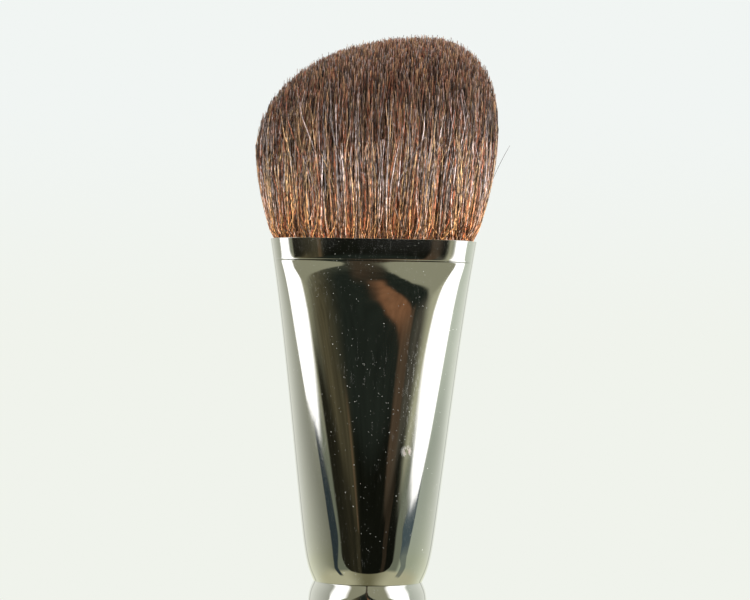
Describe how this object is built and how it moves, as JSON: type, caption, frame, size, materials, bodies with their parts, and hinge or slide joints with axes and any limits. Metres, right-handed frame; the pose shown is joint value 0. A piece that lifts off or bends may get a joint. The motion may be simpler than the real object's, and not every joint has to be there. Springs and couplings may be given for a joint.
{
  "type": "blush brush",
  "caption": "Angled blush brush: slanted dome of brown natural hair in a flattened bright metal ferrule, crimped on a slim black lacquered handle.",
  "frame": {"origin": "centre of the small flat at the butt end of the handle", "axes": "+Z along the handle towards the hair tips, +X towards the hair's long side, -Y towards the flat front of the ferrule"},
  "size_m": [0.0303, 0.0162, 0.1842],
  "materials": {
    "hair": "fine brown natural hair, golden near the ferrule and darker at the tips",
    "nickel": "bright nickel plate, mirror polished",
    "lacquered_wood": "black gloss lacquer",
    "resin": "cured amber resin",
    "thread": "waxed cotton",
    "glue": "dried wood glue"
  },
  "bodies": {
    "root": {"hair_tuft": "hair", "ferrule": "nickel", "handle": "lacquered_wood", "root_plug": "resin", "binding_thread": "thread", "tenon_glue": "glue"}
  },
  "joints": []
}
